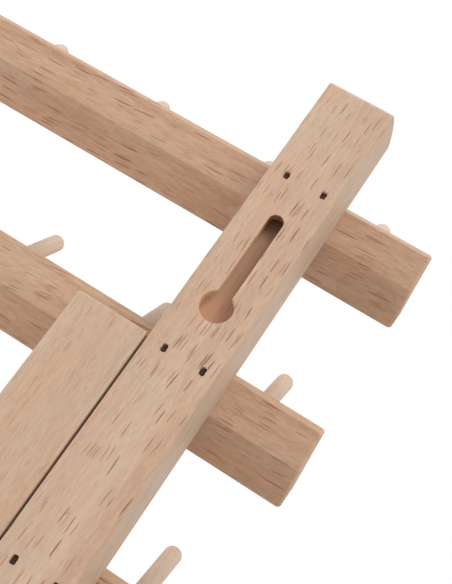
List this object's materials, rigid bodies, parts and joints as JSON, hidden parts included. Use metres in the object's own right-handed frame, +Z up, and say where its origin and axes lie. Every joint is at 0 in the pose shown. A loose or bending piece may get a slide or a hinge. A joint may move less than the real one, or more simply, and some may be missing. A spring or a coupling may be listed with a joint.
{
  "type": "thread spool rack",
  "caption": "Beech rack for thread spools: level rails with slanted pegs, nailed to keyhole stiles that each carry a folding rear leg.",
  "frame": {"origin": "middle of the rack's box, on the plane that the stiles stand on", "axes": "+X to the right seen from the pegs' side, +Y towards the wall, +Z up"},
  "size_m": [0.396, 0.0535, 0.344],
  "materials": {
    "stile_beech": "bare planed and sanded beech, pale pinkish tan with short red-brown flecks",
    "rail_beech": "bare planed and sanded beech, orange tan with short dark flecks",
    "peg_beech": "bare turned beech dowel, fine straight grain",
    "leg_beech": "bare planed and sanded beech, paler, with fine straight grain",
    "brad_steel": "dull coated steel",
    "screw_steel": "bright zinc-plated steel"
  },
  "bodies": {
    "frame": {"left_stile": "stile_beech", "right_stile": "stile_beech", "rail_1": "rail_beech", "rail_2": "rail_beech", "rail_3": "rail_beech", "rail_4": "rail_beech", "rail_5": "rail_beech", "rail_6": "rail_beech", "pegs_1": "peg_beech", "pegs_2": "peg_beech", "pegs_3": "peg_beech", "pegs_4": "peg_beech", "pegs_5": "peg_beech", "pegs_6": "peg_beech", "left_brads": "brad_steel", "right_brads": "brad_steel", "left_pivot_screw": "screw_steel", "left_spacer_washer": "screw_steel", "right_pivot_screw": "screw_steel", "right_spacer_washer": "screw_steel"},
    "left_leg": {"left_leg": "leg_beech"},
    "right_leg": {"right_leg": "leg_beech"}
  },
  "joints": [
    {"name": "left_leg_fold", "type": "hinge", "parent": "frame", "child": "left_leg", "pos_m": [-0.14265, 0.02125, 0.2256], "axis": [1, 0, 0], "range_deg": [0, 20]},
    {"name": "right_leg_fold", "type": "hinge", "parent": "frame", "child": "right_leg", "pos_m": [0.14265, 0.02125, 0.2256], "axis": [1, 0, 0], "range_deg": [0, 20]}
  ]
}
